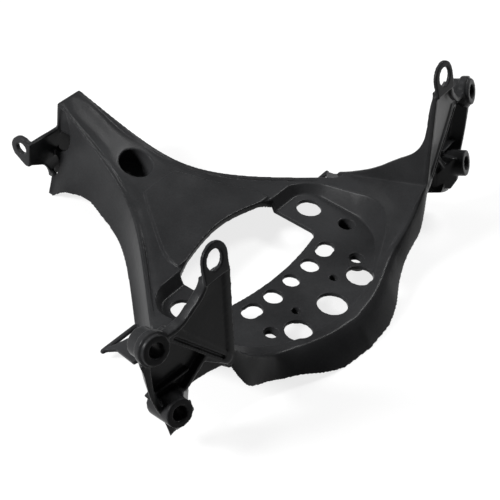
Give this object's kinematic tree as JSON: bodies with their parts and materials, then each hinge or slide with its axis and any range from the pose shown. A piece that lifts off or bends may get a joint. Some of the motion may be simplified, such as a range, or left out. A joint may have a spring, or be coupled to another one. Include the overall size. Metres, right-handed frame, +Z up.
{
  "type": "headlight bracket",
  "caption": "Cast motorbike headlight bracket: a perforated tray with a curved skirt, side mounts with bosses and tabs, and a hollow neck rising to a head with an ear.",
  "frame": {"origin": "the middle of the bounding box in X and Y, on the floor plane that the lips and the skirt rest on", "axes": "+X to the right, +Y forward to the narrow head, +Z up, with the tray plate level"},
  "size_m": [0.3198, 0.2446, 0.1229],
  "materials": {
    "coated_casting": "satin"
  },
  "bodies": {
    "root": {"bracket": "coated_casting"}
  },
  "joints": []
}
